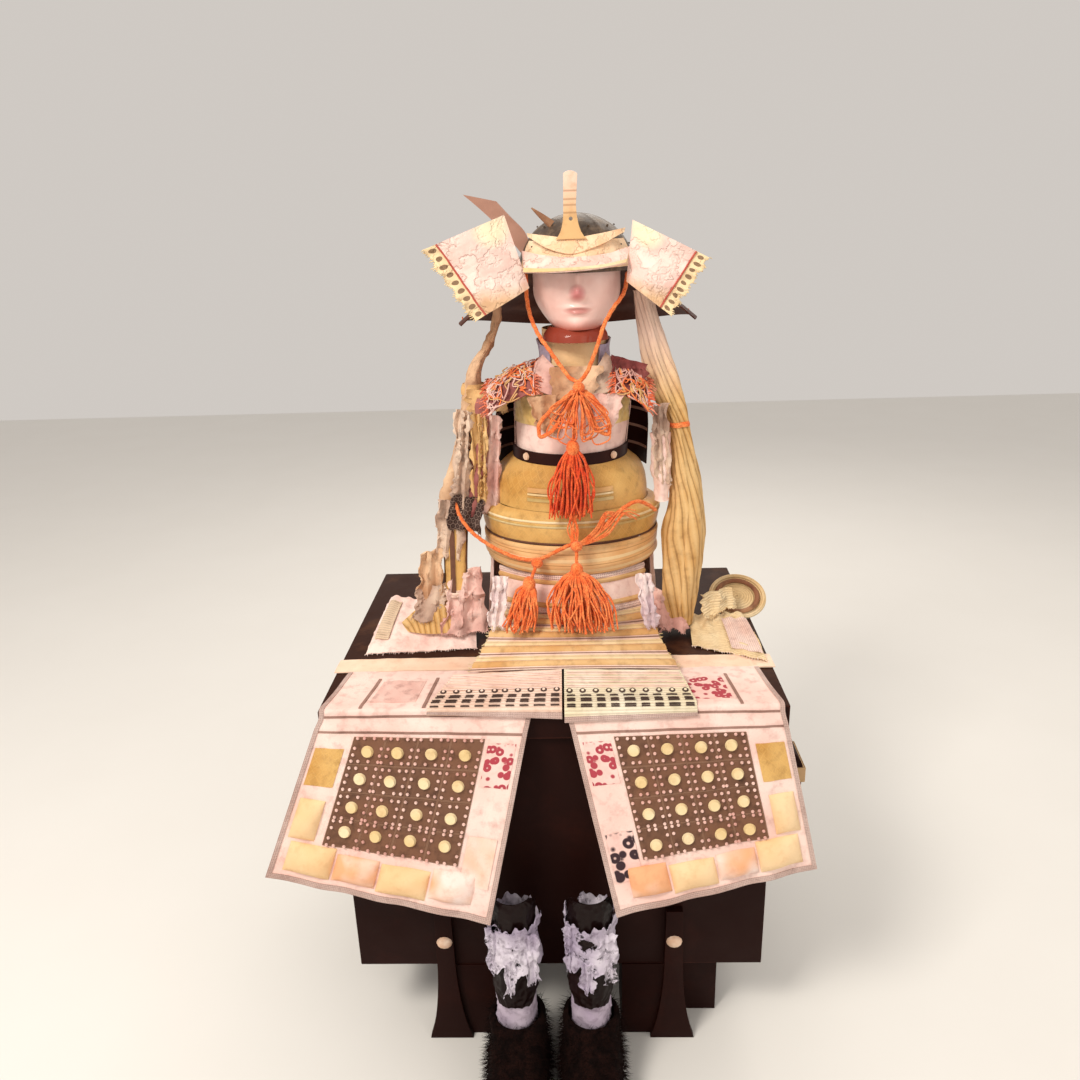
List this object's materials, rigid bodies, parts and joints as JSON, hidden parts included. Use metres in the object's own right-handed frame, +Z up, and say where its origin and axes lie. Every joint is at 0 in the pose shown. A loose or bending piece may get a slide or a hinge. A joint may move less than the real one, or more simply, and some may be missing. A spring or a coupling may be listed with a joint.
{
  "type": "samurai armour on its stand and storage chest",
  "caption": "Samurai armour of helmet, mask, cuirass, sleeves, skirt and fanned thigh guards on a post stand over its lacquered chest, with shin guards and fur boots before it.",
  "frame": {"origin": "middle of the footprint, on the floor", "axes": "+Z up, the front faces -Y, +X is the wearer's left and the viewer's right"},
  "size_m": [0.94, 0.9273, 1.5627],
  "materials": {
    "lacquer": "dark red-brown lacquer",
    "wood": "plain stand wood",
    "horn": "pale horn-coloured plate",
    "iron": "dark russet helmet",
    "dark_plate": "dark lacquered leather",
    "dark_cloth": "dark brown padded cloth",
    "mask": "pale painted leather",
    "paper_cloth": "crumpled pale cloth",
    "pink_cloth": "pale pink woven cloth",
    "peach_cloth": "peach cloth",
    "gold_cloth": "gold brocade",
    "satin": "striped satin",
    "tan_cloth": "tan gold cloth",
    "lilac_cloth": "grey lilac crinkled cloth",
    "yarn": "orange silk cord",
    "fur": "black-brown fur"
  },
  "bodies": {
    "root": {"chest_body": "lacquer", "chest_lid": "lacquer", "leg_front_left": "lacquer", "leg_front_right": "lacquer", "leg_back_left": "lacquer", "leg_back_right": "lacquer", "bracket_left": "lacquer", "bracket_right": "lacquer", "stand_post": "wood", "neck_cover": "peach_cloth", "helmet_bowl": "iron", "brow_plate": "horn", "visor": "paper_cloth", "crest": "horn", "turn_back_left": "paper_cloth", "turn_back_right": "paper_cloth", "neck_guard": "dark_plate", "face_mask": "mask", "chest_cloth": "pink_cloth", "belt": "dark_plate", "abdomen": "gold_cloth", "lower_panel": "gold_cloth", "waist_band": "satin", "back_plate": "dark_plate", "gold_panel_left": "gold_cloth", "gold_panel_right": "gold_cloth", "shoulder_left": "dark_cloth", "shoulder_right": "dark_cloth", "collar": "lilac_cloth", "skirt_upper": "pink_cloth", "skirt_banded": "tan_cloth", "tasset_left": "pink_cloth", "tasset_right": "pink_cloth", "skirt_back": "pink_cloth", "apron_left": "pink_cloth", "apron_right": "pink_cloth", "apron_belt": "peach_cloth", "sleeve_right_drape": "tan_cloth", "sleeve_right_inner": "pink_cloth", "sleeve_left_outer": "tan_cloth", "sleeve_left_inner": "lilac_cloth", "forearm_splints": "gold_cloth", "hand_panel_left": "pink_cloth", "hand_panel_right": "tan_cloth", "hand_fold_left": "tan_cloth", "hand_plate_right": "tan_cloth", "shin_guard_left": "dark_plate", "knee_cloth_left": "lilac_cloth", "ankle_wrap_left": "lilac_cloth", "boot_left": "fur", "shin_guard_right": "dark_plate", "knee_cloth_right": "lilac_cloth", "ankle_wrap_right": "lilac_cloth", "boot_right": "fur", "chin_cord": "yarn", "chest_bow": "yarn", "waist_cord": "yarn", "tassel_chest": "yarn", "tassel_waist": "yarn", "tassel_small": "yarn"}
  },
  "joints": []
}
